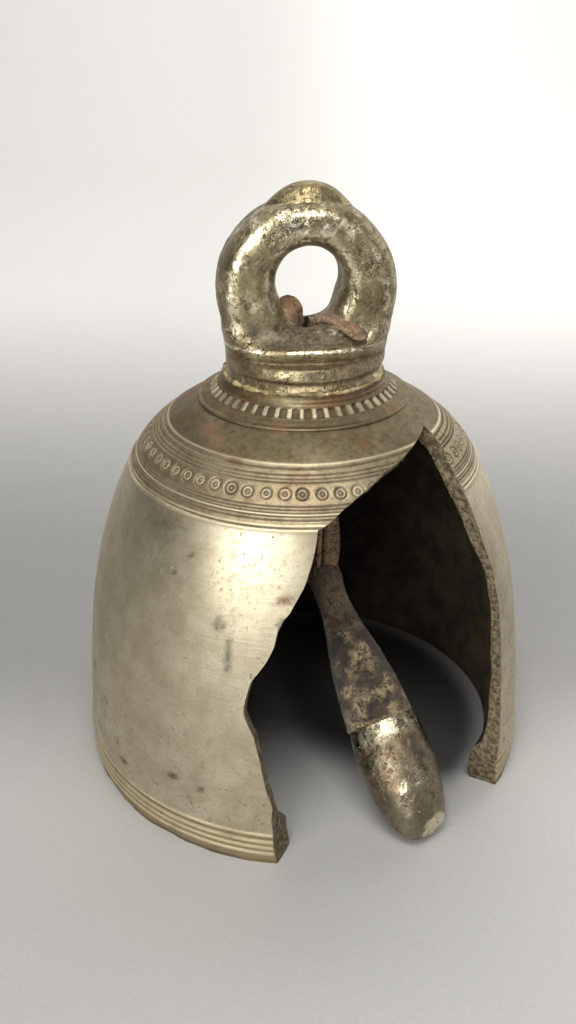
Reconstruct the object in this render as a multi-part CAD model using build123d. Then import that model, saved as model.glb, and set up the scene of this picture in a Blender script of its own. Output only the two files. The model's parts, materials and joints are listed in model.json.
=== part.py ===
from build123d import *
import os
from bisect import bisect_right
from math import cos, hypot, radians, sin

# A cast bronze temple bell: a shell with a broken-out piece of its wall, a suspension loop with a
# domed cap brazed on its crown, and a leather-sleeved bronze clapper on a leather thong that passes
# up through the crown. Millimetres, +Z up. The origin is the centre of the rim on the ground.
# Bearings are degrees about +Z, from -Y (0) towards +X (90).

# ---------------------------------------------------------------- driving dimensions

# Shell, outside, as (radius, height), from the rim to the edge of the crown mouldings.
BODY = [(60.0, 0.0), (59.9, 9.0), (59.5, 15.0), (58.2, 30.0), (55.7, 48.0), (51.1, 66.0),
        (46.3, 78.0), (43.1, 84.0), (38.3, 90.0), (33.2, 94.0), (26.3, 98.1)]
# Crown mouldings: two steps, a toothed band, a ring and a flat seat for the loop.
CROWN = [(26.3, 98.6), (25.2, 98.8), (23.3, 100.1), (21.1, 101.7), (20.5, 102.3), (20.2, 102.8),
         (20.0, 103.5), (19.9, 104.0)]
# Shell, inside, from the top down to the bead behind the lip.
INSIDE = [(20.0, 96.8), (27.5, 92.9), (33.7, 88.3), (37.7, 84.4), (42.2, 77.5), (45.4, 71.0),
          (49.4, 62.0), (52.7, 50.0), (54.4, 39.0), (55.5, 27.0), (55.7, 18.0), (54.6, 11.5),
          (52.2, 5.5), (52.2, 2.0)]
CROWN_INSIDE_Z = 99.5
LIP_FLAT_R = 53.0

LIP_GROOVES = [7.6, 5.7, 3.9]
SHOULDER_GROOVES = [82.7, 84.2, 84.9, 85.5, 86.1, 86.7, 90.7, 91.3, 91.9, 92.9]
GROOVE_R = 0.32

RING_DOTS = 60
RING_DOT_Z = 88.8
RING_DOT_R = 1.5
RING_DOT_LINE = 0.4
RING_DOT_DEPTH = 0.25

TEETH = 48
TOOTH_WIDTH = 1.0
TOOTH_RISE = 0.35

# The missing piece of wall, as (bearing, height) on the outer surface, clockwise from the apex.
BREAK = [(65, 95), (52, 93.8), (40.5, 92.5), (29, 91), (23, 89.4), (18, 88), (12.5, 86),
         (7.5, 83.5), (4.2, 82.3), (2.3, 76.3), (0, 71), (-3.7, 65.3), (-6.1, 63), (-6.9, 58),
         (-8.7, 54.4), (-12.2, 49.5), (-13.4, 45), (-14, 42), (-11, 35.8), (-9.5, 28.8),
         (-7.2, 17), (-6.8, 8), (-6, -4), (58, -4), (57.8, 8), (59, 22), (59.4, 38), (61, 50),
         (61.2, 62), (59.8, 70), (58.5, 82), (59.5, 88.5), (63, 92.5)]
# How far the cutter reaches outwards and inwards from there, and the points it closes on, as
# (radius, height).
BREAK_OUTWARD = 30.0
BREAK_INWARD = 14.0
BREAK_OUTER_HUB = (100.0, 55.0)
BREAK_INNER_HUB = (20.0, 45.0)

# Loop: an upright ring on a turned drum.
SEAT_Z = 104.0
DRUM = [(18.8, 104.0), (18.8, 108.1), (18.3, 108.5), (18.3, 110.0), (18.8, 110.4), (18.8, 112.9),
        (18.5, 113.5), (17.9, 113.8)]
LOOP_X = 0.6
LOOP_Z = 124.3
LOOP_R = 21.2
LOOP_FOOT_HALF_WIDTH = 18.6
LOOP_FOOT_Z = 109.0
LOOP_FOOT_SLOPE = 0.3
LOOP_HALF_DEPTH = 8.5
LOOP_OUTER_ROUND = 5.8
LOOP_INNER_ROUND = 3.6
LOOP_YAW = 6.0
EYE_X = 0.85
EYE_Z = 126.5
EYE_R = 7.3
EYE_FLOOR_Z = 114.5
EYE_CORNER_R = 3.0

CAP_X = 1.6
CAP_R = 9.5
CAP_SEAM_Z = 144.6
CAP_RISE = 4.0
CAP_LEAN = 2.5
CAP_SKIRT = 2.0

SEAM_WIDTH = 1.1
SEAM_HEIGHT = 1.9

# Thong: a strip of leather doubled through the clapper's eye. Both ends go up the crown hole.
THONG_HOLE_R = 4.5
THONG_WIDTH = 4.0
THONG_THICKNESS = 1.65
THONG_GAP = 2.5
NECK_PIVOT_Z = 96.0
NECK_LENGTH = 7.0
TAIL_END_GAP = 0.25
TAIL_ABOVE_FLOOR = 0.8
# The free ends above the eye's floor, as points along each, with width, thickness and the way
# the broad side faces.
LEAF = ([(-1.7, -2.6, 116.4), (-3.6, -1.6, 120.4)], 5.0, 1.7, (0.5, -0.8, 0.35))
STRIP = ([(2.4, -0.6, 116.2), (7.0, -3.2, 117.2), (13.0, -10.2, 115.6)], 5.0, 1.9,
         (0.1, -0.35, 1.0))
CURL = ([(12.0, -10.6, 116.9), (14.6, -9.8, 116.6)], 3.0, 1.8, (0.1, -0.2, 1.0))

# The clapper hangs in the upright plane at this bearing. Points in it are (radius, height).
SWING_BEARING = 30.0
SWAY_PIVOT = (2.9, 88.6)
THONG_BEND = (10.8, 69.0)
CLAPPER_EYE = (10.4, 51.2)
CLAPPER_LEAN = 45.4

# Clapper and its sleeve, as (radius, distance from the eye) along the clapper's own axis.
SHANK = [(1.9, 5.5), (3.6, 16.0), (5.2, 24.0), (6.2, 31.5), (6.6, 40.0)]
BULB = [(7.5, 40.0), (8.3, 43.0), (9.2, 47.0), (8.9, 53.0), (8.1, 58.5), (6.9, 63.5), (5.3, 67.0),
        (3.0, 69.3)]
BULB_END = 70.1
BULB_START_SLOPE = 0.3
SLEEVE = [(3.7, 4.6), (4.0, 8.0), (5.3, 16.0), (6.9, 24.0), (7.8, 31.5), (8.2, 40.0)]
EYE_RING_R = 3.5
EYE_HOLE_R = 1.6
EYE_THICKNESS = 2.3
EYE_NECK_DEPTH = 3.0
EYE_NECK_OVERLAP = 2.0
THONG_BAR_R = 1.55

# Half the height over which the shell's slope is taken, and a length that passes through anything.
SLOPE_STEP = 2.0
THROUGH = 80.0


# ---------------------------------------------------------------- helpers

def body_radius(height):
    """Radius of the shell's outside at a height, between the points of BODY."""
    heights = [z for _, z in BODY]
    i = min(max(bisect_right(heights, height), 1), len(BODY) - 1)
    (r0, z0), (r1, z1) = BODY[i - 1], BODY[i]
    return r0 + (r1 - r0) * (height - z0) / (z1 - z0)


def body_normal(height):
    """Outward unit normal of the shell's outside, as (radial, up)."""
    rise = body_radius(height + SLOPE_STEP) - body_radius(height - SLOPE_STEP)
    slope = rise / (2 * SLOPE_STEP)
    size = hypot(1, slope)
    return 1 / size, -slope / size


def at(bearing, radius, height):
    """The point at a bearing, a radius and a height."""
    return Vector(radius * sin(radians(bearing)), -radius * cos(radians(bearing)), height)


def turned(points):
    """A solid of revolution about Z with these (radius, height) points as its wall."""
    outline = [(0, points[0][1])] + points + [(0, points[-1][1])]
    return revolve(Plane.XZ * make_face(Polyline(*outline, close=True)), Axis.Z)


def turned_smooth(points, end):
    """A solid of revolution about Z with a smooth wall through points and a rounded end at end."""
    wall = Spline(*points, (0, end), tangents=[(BULB_START_SLOPE, 1), (-1, 0)])
    base = Polyline((0, end), (0, points[0][1]), points[0])
    return revolve(Plane.XZ * make_face([wall, base]), Axis.Z)


# The upright plane that the clapper swings in: x is outwards, y is up.
SWING = Plane(origin=(0, 0, 0), x_dir=at(SWING_BEARING, 1, 0),
              z_dir=at(SWING_BEARING - 90, 1, 0))


def strands(start, end, round_start, round_end):
    """The two strands of the thong between two points of the swing plane, one on each side."""
    along = Vector(*end) - Vector(*start)
    angle = Vector(1, 0, 0).get_signed_angle(along, Vector(0, 0, 1))
    middle = (Vector(*start) + Vector(*end)) / 2
    outline = Pos(middle.X, middle.Y) * Rot(0, 0, angle) * Rectangle(along.length, THONG_WIDTH)
    for point, rounded in ((start, round_start), (end, round_end)):
        if rounded:
            outline += Pos(*point) * Circle(THONG_WIDTH / 2)
    inner = THONG_GAP / 2
    left = extrude(SWING * Pos(0, 0, inner) * outline, THONG_THICKNESS)
    right = extrude(SWING * Pos(0, 0, -inner - THONG_THICKNESS) * outline, THONG_THICKNESS)
    return left, right


# ---------------------------------------------------------------- shell

def shell_blank():
    """The whole bell before the break: a turned wall with its grooves."""
    body = Spline(*BODY)
    crown = Polyline(BODY[-1], *CROWN, (0, SEAT_Z), (0, CROWN_INSIDE_Z))
    inside = Spline((0, CROWN_INSIDE_Z), *INSIDE)
    lip = Polyline(INSIDE[-1], (LIP_FLAT_R, 0), BODY[0])
    section = make_face([body, crown, inside, lip])
    for height in LIP_GROOVES + SHOULDER_GROOVES:
        section -= Pos(body_radius(height), height) * Circle(GROOVE_R)
    return revolve(Plane.XZ * section, Axis.Z)


def break_cutter():
    """The missing piece of wall: faces normal to the wall along BREAK, capped in and out."""
    inner, outer = [], []
    for bearing, height in BREAK:
        radial, up = body_normal(height)
        radius = body_radius(height)
        inner.append(at(bearing, radius - BREAK_INWARD * radial, height - BREAK_INWARD * up))
        outer.append(at(bearing, radius + BREAK_OUTWARD * radial, height + BREAK_OUTWARD * up))
    inner_hub = at(SWING_BEARING, *BREAK_INNER_HUB)
    outer_hub = at(SWING_BEARING, *BREAK_OUTER_HUB)
    triangles = []
    for i in range(len(BREAK)):
        j = (i + 1) % len(BREAK)
        triangles += [(inner[i], inner[j], outer[j]), (inner[i], outer[j], outer[i]),
                      (inner_hub, inner[j], inner[i]), (outer_hub, outer[i], outer[j])]
    return Solid(Shell([Face(Wire.make_polygon(corners)) for corners in triangles]))


def ring_dots():
    """Punched circles in a row round the shoulder."""
    radial, up = body_normal(RING_DOT_Z)
    radius = body_radius(RING_DOT_Z)
    ring = Circle(RING_DOT_R) - Circle(RING_DOT_R - RING_DOT_LINE)
    punch = extrude(ring, RING_DOT_DEPTH, both=True)
    punches = []
    for i in range(RING_DOTS):
        bearing = i * 360 / RING_DOTS
        seat = Plane(origin=at(bearing, radius, RING_DOT_Z), z_dir=at(bearing, radial, up))
        punches.append(seat * punch)
    return punches


def teeth():
    """Short raised bars up the slope of the crown's toothed band."""
    (r0, z0), (r1, z1) = CROWN[2], CROWN[3]
    bars = []
    for i in range(TEETH):
        bearing = i * 360 / TEETH
        up_slope = at(bearing, r1 - r0, z1 - z0)
        normal = at(bearing, z1 - z0, r0 - r1)
        middle = at(bearing, (r0 + r1) / 2, (z0 + z1) / 2)
        seat = Plane(origin=middle, x_dir=up_slope, z_dir=normal)
        bars.append(seat * Box(hypot(r1 - r0, z1 - z0), TOOTH_WIDTH, 2 * TOOTH_RISE))
    return bars


def bell_shell():
    shell = shell_blank() + teeth()
    shell -= ring_dots()
    shell -= Pos(0, 0, SEAT_Z) * Cylinder(THONG_HOLE_R, THROUGH)
    return shell - break_cutter()


# ---------------------------------------------------------------- loop, cap and braze

YAW = Rot(0, 0, LOOP_YAW)


def crown_loop():
    half, foot, lean = LOOP_R, LOOP_FOOT_HALF_WIDTH, LOOP_FOOT_SLOPE
    arch = CenterArc((LOOP_X, LOOP_Z), half, 0, 180)
    left = Spline((LOOP_X - half, LOOP_Z), (LOOP_X - foot, LOOP_FOOT_Z),
                  tangents=[(0, -1), (lean, -1)])
    right = Spline((LOOP_X + foot, LOOP_FOOT_Z), (LOOP_X + half, LOOP_Z),
                   tangents=[(lean, 1), (0, 1)])
    foot_line = Line((LOOP_X - foot, LOOP_FOOT_Z), (LOOP_X + foot, LOOP_FOOT_Z))
    outline = make_face([arch, left, foot_line, right])

    eye = Pos(EYE_X, EYE_Z) * Circle(EYE_R)
    lower = EYE_Z - EYE_FLOOR_Z
    window = Pos(EYE_X, EYE_Z - lower / 2) * Rectangle(2 * EYE_R, lower)
    corners = window.vertices().group_by(Axis.Y)[0]
    eye += fillet(corners, EYE_CORNER_R)

    ring = extrude(Plane.XZ * outline, LOOP_HALF_DEPTH, both=True)
    outer_edges = [e for e in ring.edges() if abs(e.center().Y) > LOOP_HALF_DEPTH - 0.01
                   and e.center().Z > LOOP_FOOT_Z + 1]
    ring = fillet(outer_edges, LOOP_OUTER_ROUND)
    ring -= extrude(Plane.XZ * eye, 2 * LOOP_HALF_DEPTH, both=True)
    inner_edges = [e for e in ring.edges() if e.geom_type != GeomType.BSPLINE
                   and abs(abs(e.center().Y) - LOOP_HALF_DEPTH) < 0.01
                   and e.bounding_box().max.X < EYE_X + EYE_R + 0.1
                   and e.bounding_box().min.X > EYE_X - EYE_R - 0.1]
    ring = fillet(inner_edges, LOOP_INNER_ROUND)

    loop = turned(DRUM) + YAW * ring
    below_eye = EYE_FLOOR_Z + EYE_CORNER_R - SEAT_Z
    return loop - Pos(0, 0, SEAT_Z) * Cylinder(THONG_HOLE_R, 2 * below_eye)


def loop_cap(loop):
    dome_r = (CAP_R ** 2 + CAP_RISE ** 2) / (2 * CAP_RISE)
    dome = Pos(0, 0, CAP_RISE - dome_r) * Sphere(dome_r)
    dome &= Pos(0, 0, CAP_RISE / 2) * Cylinder(CAP_R, CAP_RISE)
    skirt = Pos(0, 0, -CAP_SKIRT / 2) * Cylinder(CAP_R, CAP_SKIRT)
    cap = Pos(CAP_X, 0, CAP_SEAM_Z) * Rot(0, CAP_LEAN, 0) * (dome + skirt)
    return YAW * cap - loop


def braze_seam():
    drum_r = DRUM[0][0]
    outline = Polyline((drum_r, SEAT_Z), (drum_r + SEAM_WIDTH, SEAT_Z),
                       (drum_r, SEAT_Z + SEAM_HEIGHT), close=True)
    return revolve(Plane.XZ * make_face(outline), Axis.Z)


# ---------------------------------------------------------------- leather thong

def hole_strands():
    """The two strands standing in the crown hole, from just above the pivot to the eye's floor."""
    start = (0, NECK_PIVOT_Z + THONG_WIDTH / 2 + TAIL_END_GAP)
    return strands(start, (0, EYE_FLOOR_Z + TAIL_ABOVE_FLOOR), False, False)


def flap(points, width, thickness, facing):
    """A strip of leather laid along points, its broad side turned to the direction facing."""
    strip = None
    for start, end in zip(points, points[1:]):
        along = Vector(*end) - Vector(*start)
        seat = Plane(origin=(Vector(*start) + Vector(*end)) / 2, x_dir=along,
                     z_dir=along.cross(Vector(*facing)).cross(along))
        piece = seat * extrude(SlotCenterToCenter(along.length, width), thickness / 2, both=True)
        strip = piece if strip is None else strip + piece
    return strip


def thong_left_tail(loop):
    """The strand that stands up against the loop's left leg as a leaf."""
    strand = hole_strands()[0]
    return strand + flap(*LEAF) - loop


def thong_right_tail(loop, left_tail):
    """The strand that folds over the eye's floor and out past the right leg."""
    strand = hole_strands()[1]
    return strand + flap(*STRIP) + flap(*CURL) - loop - left_tail


def thong_neck():
    """The first stretch of the thong below the crown, from the pivot down."""
    pivot = Vector(0, NECK_PIVOT_Z)
    along = (Vector(*SWAY_PIVOT) - pivot).normalized()
    end = pivot + along * NECK_LENGTH
    return strands((0, NECK_PIVOT_Z), (end.X, end.Y), True, False)


def thong_strap():
    """The thong from the sway pivot down to the clapper, joined by the bar through its eye."""
    upper = strands(SWAY_PIVOT, THONG_BEND, False, True)
    lower = strands(THONG_BEND, CLAPPER_EYE, True, True)
    span = THONG_GAP + 2 * THONG_THICKNESS
    bar = SWING * Pos(*CLAPPER_EYE) * Cylinder(THONG_BAR_R, span)
    return upper[0] + lower[0] + bar + upper[1] + lower[1]


# ---------------------------------------------------------------- clapper

# The clapper's own frame: +Z runs down its axis from the eye, and X is the eye's axis.
CLAPPER = Plane(origin=at(SWING_BEARING, *CLAPPER_EYE), x_dir=-SWING.z_dir,
                z_dir=at(SWING_BEARING, sin(radians(CLAPPER_LEAN)), -cos(radians(CLAPPER_LEAN))))


def clapper():
    """Eye, tapered shank and bulb, one casting."""
    eye = Rot(0, 90, 0) * Cylinder(EYE_RING_R, EYE_THICKNESS)
    reach = SHANK[0][1] + EYE_NECK_OVERLAP
    neck = Pos(0, 0, reach / 2) * Box(EYE_THICKNESS, EYE_NECK_DEPTH, reach)
    casting = turned(SHANK) + turned_smooth(BULB, BULB_END) + eye + neck
    casting -= Rot(0, 90, 0) * Cylinder(EYE_HOLE_R, THROUGH)
    return CLAPPER * casting


def clapper_sleeve(bronze):
    """The leather wrap round the shank, from below the eye to the bulb's shoulder."""
    return CLAPPER * turned(SLEEVE) - bronze


# ---------------------------------------------------------------- parts

def export(name, *solids):
    made = [s for shape in solids for s in shape.solids()]
    export_step(made[0] if len(made) == 1 else Compound(made), f"parts/{name}.step")


def main():
    os.makedirs("parts", exist_ok=True)
    loop = crown_loop()
    left_tail = thong_left_tail(loop)
    bronze = clapper()
    export("bell_shell", bell_shell())
    export("crown_loop", loop)
    export("loop_cap", loop_cap(loop))
    export("braze_seam", braze_seam())
    export("thong_left_tail", left_tail)
    export("thong_right_tail", thong_right_tail(loop, left_tail))
    export("thong_neck", *thong_neck())
    export("thong_strap", thong_strap())
    export("clapper", bronze)
    export("clapper_sleeve", clapper_sleeve(bronze))


main()
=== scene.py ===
import functools
import json
import math

import bmesh
import bpy
import numpy as np
from mathutils import Matrix, Vector


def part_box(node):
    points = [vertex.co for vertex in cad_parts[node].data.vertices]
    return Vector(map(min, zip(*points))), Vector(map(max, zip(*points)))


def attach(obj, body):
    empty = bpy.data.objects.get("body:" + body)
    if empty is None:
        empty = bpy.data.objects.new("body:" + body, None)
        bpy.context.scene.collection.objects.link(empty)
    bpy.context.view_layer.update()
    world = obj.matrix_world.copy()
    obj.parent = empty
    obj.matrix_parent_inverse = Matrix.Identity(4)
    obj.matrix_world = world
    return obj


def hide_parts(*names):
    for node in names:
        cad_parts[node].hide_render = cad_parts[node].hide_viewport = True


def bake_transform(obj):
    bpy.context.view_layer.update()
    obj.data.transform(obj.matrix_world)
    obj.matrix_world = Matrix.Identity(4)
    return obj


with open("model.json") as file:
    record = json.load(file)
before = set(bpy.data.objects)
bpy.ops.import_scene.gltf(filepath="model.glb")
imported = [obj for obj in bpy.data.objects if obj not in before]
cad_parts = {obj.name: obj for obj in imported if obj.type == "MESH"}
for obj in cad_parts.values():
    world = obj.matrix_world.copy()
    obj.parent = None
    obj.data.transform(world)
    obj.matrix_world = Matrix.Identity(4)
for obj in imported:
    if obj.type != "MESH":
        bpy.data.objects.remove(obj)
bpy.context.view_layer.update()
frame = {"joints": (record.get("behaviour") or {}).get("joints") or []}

# A worn bronze temple bell with a piece of its wall broken out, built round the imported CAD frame.
# Lengths are millimetres until a mesh is made, and metres in the materials and on the stage.
# Bearings are degrees about +Z, from -Y (0) towards +X (90).

MM = 0.001
UP = np.array([0, 0, 1.0])

# Sizes from the frame.
SEAT_Z = float(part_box("bell_shell")[1][2]) / MM
JOINTS = {j["name"]: j for j in frame["joints"]}
CLAPPER_EYE = np.array(JOINTS["clapper_swing"]["pos_m"]) / MM
OUTWARDS = np.array(JOINTS["thong_sway"]["axis"], float)
SIDEWAYS = -np.array(JOINTS["clapper_swing"]["axis"], float)


# ---- numbers and noise

def smooth(low, high, x):
    """0 below low, 1 above high, and a smooth step between."""
    t = np.clip((x - low) / (high - low), 0, 1)
    return t * t * (3 - 2 * t)


def hump(x, centre, width):
    """A bell curve of height 1."""
    return np.exp(-(((x - centre) / width) ** 2))


def most(*fields):
    """The largest of several fields at each point."""
    return np.maximum.reduce(fields)


def curve(points, x):
    """A smooth line through (x, y) points, as a cubic with the points' own slopes."""
    xs, ys = np.array(points, float).T
    slopes = np.gradient(ys, xs)
    i = np.clip(np.searchsorted(xs, x) - 1, 0, len(xs) - 2)
    h = xs[i + 1] - xs[i]
    t = np.clip((x - xs[i]) / h, 0, 1)
    return ((2 * t ** 3 - 3 * t ** 2 + 1) * ys[i] + (t ** 3 - 2 * t ** 2 + t) * h * slopes[i]
            + (3 * t ** 2 - 2 * t ** 3) * ys[i + 1] + (t ** 3 - t ** 2) * h * slopes[i + 1])


def lattice(cells, seed):
    """A repeatable number from -1 to 1 for each whole-number cell."""
    c = cells.astype(np.int64)
    h = (c[..., 0] * 73856093) ^ (c[..., 1] * 19349663) ^ (c[..., 2] * 83492791) ^ (seed * 7919)
    h = ((h ^ (h >> 13)) * 1274126177) & 0x7FFFFFFF
    h = ((h ^ (h >> 15)) * 668265263) & 0x7FFFFFFF
    return (h & 0xFFFFF) / 524287.5 - 1


def noise(points, size, seed, octaves=1):
    """Smooth 3-D value noise from -1 to 1, with features about size across."""
    total, weight, reach = 0, 1, 0
    p = np.asarray(points, float) / size
    for octave in range(octaves):
        base = np.floor(p)
        t = p - base
        t = t * t * (3 - 2 * t)
        value = 0
        for corner in range(8):
            step = np.array([corner & 1, corner >> 1 & 1, corner >> 2 & 1])
            share = np.prod(np.where(step, t, 1 - t), axis=-1)
            value = value + share * lattice(base + step, seed + octave * 31)
        total = total + weight * value
        reach += weight
        weight *= 0.5
        p = p * 2.03 + 11.7
    return total / reach


def around(bearing, radius, height):
    """Points at bearings in degrees, radii and heights."""
    b = np.radians(bearing)
    return np.stack([radius * np.sin(b), -radius * np.cos(b), height + 0 * b], axis=-1)


# ---- mesh building

WELD_DISTANCE = 2e-6  # metres


class Skin:
    """A mesh made of rows of points that are stitched to each other."""

    def __init__(self, *masks):
        self.points = []
        self.count = 0
        self.faces = []
        self.masks = {m: [] for m in masks}
        self.last = None

    def add(self, points, **masks):
        """Adds points and returns their indices. A mask that isn't given is 0."""
        points = np.asarray(points, float).reshape(-1, 3)
        self.points.append(points)
        for name, values in self.masks.items():
            values.append(np.broadcast_to(masks.get(name, 0.0), len(points)).astype(float))
        first = self.count
        self.count += len(points)
        return np.arange(first, self.count)

    def stitch(self, a, b, a_keys=None, b_keys=None):
        """Fills the strip between two rows. Rows with keys are matched by them, others evenly."""
        ka = np.linspace(0, 1, len(a)) if a_keys is None else a_keys
        kb = np.linspace(0, 1, len(b)) if b_keys is None else b_keys
        i = j = 0
        while i < len(a) - 1 or j < len(b) - 1:
            if i < len(a) - 1 and j < len(b) - 1 and abs(ka[i + 1] - kb[j + 1]) < 1e-9:
                self.faces.append([a[i], a[i + 1], b[j + 1], b[j]])
                i, j = i + 1, j + 1
            elif j == len(b) - 1 or (i < len(a) - 1 and ka[i + 1] <= kb[j + 1]):
                self.faces.append([a[i], a[i + 1], b[j]])
                i += 1
            else:
                self.faces.append([a[i], b[j + 1], b[j]])
                j += 1

    def run_on(self, row, keys=None):
        """Stitches a row to the last one. A strip starts where last is None."""
        if self.last is not None:
            self.stitch(self.last[0], row, self.last[1], keys)
        self.last = (row, keys)

    def fan(self, row, tip):
        """Closes a ring on one point."""
        self.faces += [[row[i], row[i + 1], tip] for i in range(len(row) - 1)]

    def mesh(self, name, sharp_deg=None, weld=False):
        faces = [[int(v) for v in f] for f in self.faces]
        return make_object(name, np.concatenate(self.points) * MM, faces,
                           {m: np.concatenate(v) for m, v in self.masks.items()}, sharp_deg, weld)


def make_object(name, points, faces, masks, sharp_deg=None, weld=False):
    """A smooth-shaded object from points in metres, with its float masks as attributes."""
    mesh = bpy.data.meshes.new(name)
    mesh.from_pydata(points.tolist(), [], faces)
    mesh.validate()
    for mask, values in masks.items():
        attribute = mesh.attributes.new(mask, "FLOAT", "POINT")
        attribute.data.foreach_set("value", values.astype(np.float32))
    work = bmesh.new()
    work.from_mesh(mesh)
    if weld:
        bmesh.ops.remove_doubles(work, verts=work.verts, dist=WELD_DISTANCE)
    bmesh.ops.recalc_face_normals(work, faces=work.faces)
    work.to_mesh(mesh)
    work.free()
    mesh.shade_smooth()
    if sharp_deg:
        mesh.set_sharp_from_angle(angle=math.radians(sharp_deg))
    obj = bpy.data.objects.new(name, mesh)
    bpy.context.scene.collection.objects.link(obj)
    return obj


def surface_net(field, low, step):
    """Points and quads of the surface where a sampled field crosses zero (inside is negative)."""
    inside = field < 0
    shape = np.array(field.shape) - 1
    total, count = np.zeros((*shape, 3)), np.zeros(shape)
    unit = np.eye(3, dtype=int)

    def block(values, first, size):
        return values[tuple(slice(a, a + n) for a, n in zip(first, size))]

    for c0 in np.array([[i & 1, i >> 1 & 1, i >> 2 & 1] for i in range(8)]):
        for axis in np.flatnonzero(c0 == 0):
            c1 = c0 + unit[axis]
            f0, f1 = block(field, c0, shape), block(field, c1, shape)
            cross = block(inside, c0, shape) != block(inside, c1, shape)
            t = np.where(cross, f0 / np.where(cross, f0 - f1, 1), 0)
            total += np.where(cross[..., None], c0 + t[..., None] * unit[axis], 0)
            count += cross
    used = count > 0
    index = -np.ones(shape, int)
    index[used] = np.arange(used.sum())
    points = low + step * (np.argwhere(used) + total[used] / count[used][:, None])
    quads = []
    for axis in range(3):
        du, dv = np.delete(unit, axis, axis=0)
        start = 1 - unit[axis]
        size = shape - start
        edges = block(inside, start, size) != block(inside, start + unit[axis], size)
        edges = np.argwhere(edges) + start
        ring = [edges - du - dv, edges - dv, edges, edges - du]
        quads.append(np.stack([index[tuple(c.T)] for c in ring], axis=1))
    return points, np.concatenate(quads).tolist()


# ---- the bell's shell

# Outer profile as (height, radius), then the crown's mouldings as (radius, height).
BODY = [(0, 60), (9, 59.9), (15, 59.5), (30, 58.2), (48, 55.7), (66, 51.1), (78, 46.3),
        (84, 43.1), (90, 38.3), (94, 33.2), (98.1, 26.3)]
CROWN = [(26.3, 98.1), (26.45, 98.45), (26.1, 98.8), (25.3, 98.9), (24.6, 99.3), (23.6, 99.8),
         (23.2, 100.1), (21.2, 101.75), (20.8, 102.0), (20.4, 102.4), (20.3, 102.9),
         (20.0, 103.3), (19.9, 104)]
# Wall thickness as (height, thickness), and the inside above the wall as (radius, height).
WALL = [(0, 7), (2, 7.8), (5.4, 7.5), (8.6, 7.2), (11, 6.2), (13, 4.5), (15.7, 4), (19, 3.5),
        (24, 3.2), (29, 2.9), (42, 2.6), (55, 2.3), (63, 2.4), (69, 3.3), (75, 3.7), (84, 3.9),
        (95, 4)]
THROAT = [(27.5, 92.9), (24.2, 95.1), (20, 96.8), (12, 98.6), (4.5, 99.5), (4.5, 101.7),
          (4.5, 104), (9, 104), (14.5, 104), (19.9, 104)]
FOOT_R, FOOT_TOP = 53, 2  # the rim's flat foot
# The break's two edges as (height, bearing); they meet at the apex.
LEFT_EDGE = [(0, -6.3), (8, -6.8), (17, -7.2), (28.8, -9.5), (35.8, -11), (42, -14),
             (45, -13.4), (49.5, -12.2), (54.4, -8.7), (58, -6.9), (63, -6.1), (65.3, -3.7),
             (71, 0), (76.3, 2.3), (82.3, 4.2), (83.5, 7.5), (86, 12.5), (88, 18), (89.4, 23),
             (91, 29), (92.5, 40.5), (93.8, 52), (95, 65)]
RIGHT_EDGE = [(0, 57.9), (8, 57.8), (22, 59), (38, 59.4), (50, 61), (62, 61.2), (70, 59.8),
              (82, 58.5), (88.5, 59.5), (92.5, 63), (95, 65)]
APEX_Z, APEX_BEARING = 95, 65
# Turned lines as (height, half width, rise or depth).
RIDGES = [(8.74, 0.4, 0.26), (6.55, 0.42, 0.16), (4.82, 0.4, 0.15), (3.06, 0.45, 0.17),
          (82.25, 0.42, 0.2), (83.1, 0.22, 0.12), (85.2, 0.2, 0.05), (93.5, 0.16, 0.07)]
GROOVES = [(7.65, 0.42, 0.2), (5.7, 0.36, 0.16), (3.9, 0.36, 0.16), (2.0, 0.5, 0.12),
           (82.72, 0.15, 0.26), (84.2, 0.13, 0.22), (84.9, 0.13, 0.2), (85.5, 0.12, 0.18),
           (86.1, 0.13, 0.2), (86.7, 0.13, 0.22), (90.75, 0.13, 0.24), (91.3, 0.12, 0.2),
           (91.95, 0.13, 0.22), (92.9, 0.14, 0.24)]
WORN_LIP_Z = 2.4
DOT_COUNT, DOT_Z, DOT_SLOPE = 60, 88.8, 1.31  # slope: length along the wall / height
DOT_RINGS = (0.62, 1.5)  # radii
TOOTH_COUNT, TOOTH_PHASE = 48, -0.8
TOOTH_BAND = (100.2, 101.65)
# Rows by height: from, to, rows, columns.
ROW_BANDS = [(0, 10, 33, 240), (10, 81, 75, 240), (81, 87.2, 42, 240), (87.2, 90.4, 23, 1152),
             (90.4, 93.9, 30, 240), (93.9, 95, 8, 240), (95, 98.1, 9, 240)]
CROWN_ROWS, CROWN_COLUMNS, TOOTH_COLUMNS = 58, 240, 576
INSIDE_COLUMNS, BREAK_COLUMNS = 121, 12
# Spots as (bearing, height, half width, half height, strength, seed).
GREEN_SPOTS = [(-18.3, 54.6, 1.0, 5.6, 1, 21), (-21, 61.6, 1.8, 2.0, 1, 22),
               (150, 52, 2.5, 9, 0.8, 23)]
RUST_SPOTS = [(*size, 1, 24) for size in (
    (-4.6, 68.3, 1.9, 1.5), (-46.7, 96.3, 3.4, 1.5), (-38.8, 95.1, 2.5, 1.3),
    (-12.1, 98.6, 2.2, 1.2), (-26.3, 92.9, 2.0, 0.8), (110, 95.5, 5, 1.6), (168, 96.3, 4, 1.5),
    (-120, 95.4, 4.5, 1.4))]
DARK_SPOTS = [(*size, 1, 25) for size in (
    (-32.2, 19.1, 2.3, 1.5), (-24.4, 18, 1.3, 1.0), (-36.5, 69.7, 0.8, 0.5),
    (-31.8, 74.3, 0.7, 0.5), (-50, 13.5, 2.6, 1.4), (-70, 30, 2, 1.5), (84, 26, 2.6, 1.8),
    (97, 55, 1.8, 1.4), (133, 21, 3, 2), (205, 38, 2.4, 2))]


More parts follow.
